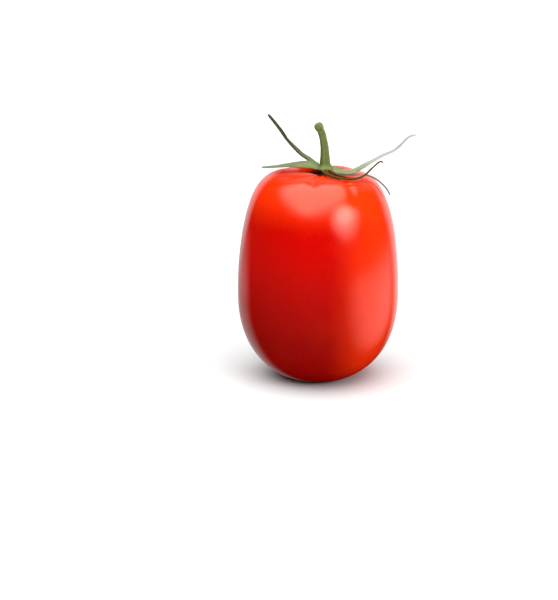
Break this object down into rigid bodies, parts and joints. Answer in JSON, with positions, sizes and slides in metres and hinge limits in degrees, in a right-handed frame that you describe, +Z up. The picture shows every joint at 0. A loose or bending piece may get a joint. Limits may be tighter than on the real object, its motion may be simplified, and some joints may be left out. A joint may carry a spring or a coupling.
{
  "type": "tomato",
  "caption": "Ripe plum tomato standing on its blossom end, with a green calyx of loose sepals and a short stem with a knuckle.",
  "frame": {"origin": "middle of the flat spot that the fruit rests on, on the fruit's axis, at floor level", "axes": "+Z up along the fruit's axis towards the stem, +X to the right in the picture along the long sepal, +Y away from the camera"},
  "size_m": [0.0553, 0.05, 0.0815],
  "materials": {
    "skin": "smooth glossy red skin, slightly orange at the shoulders",
    "stem": "matt green, finely haired, brown at the broken end",
    "sepal": "matt grey-green, finely haired, dry brown tips"
  },
  "bodies": {
    "root": {"fruit": "skin", "stem": "stem", "sepal_left": "sepal", "sepal_upright_left": "sepal", "sepal_long_right": "sepal", "sepal_drooping_right": "sepal", "sepal_curled_front": "sepal"}
  },
  "joints": []
}
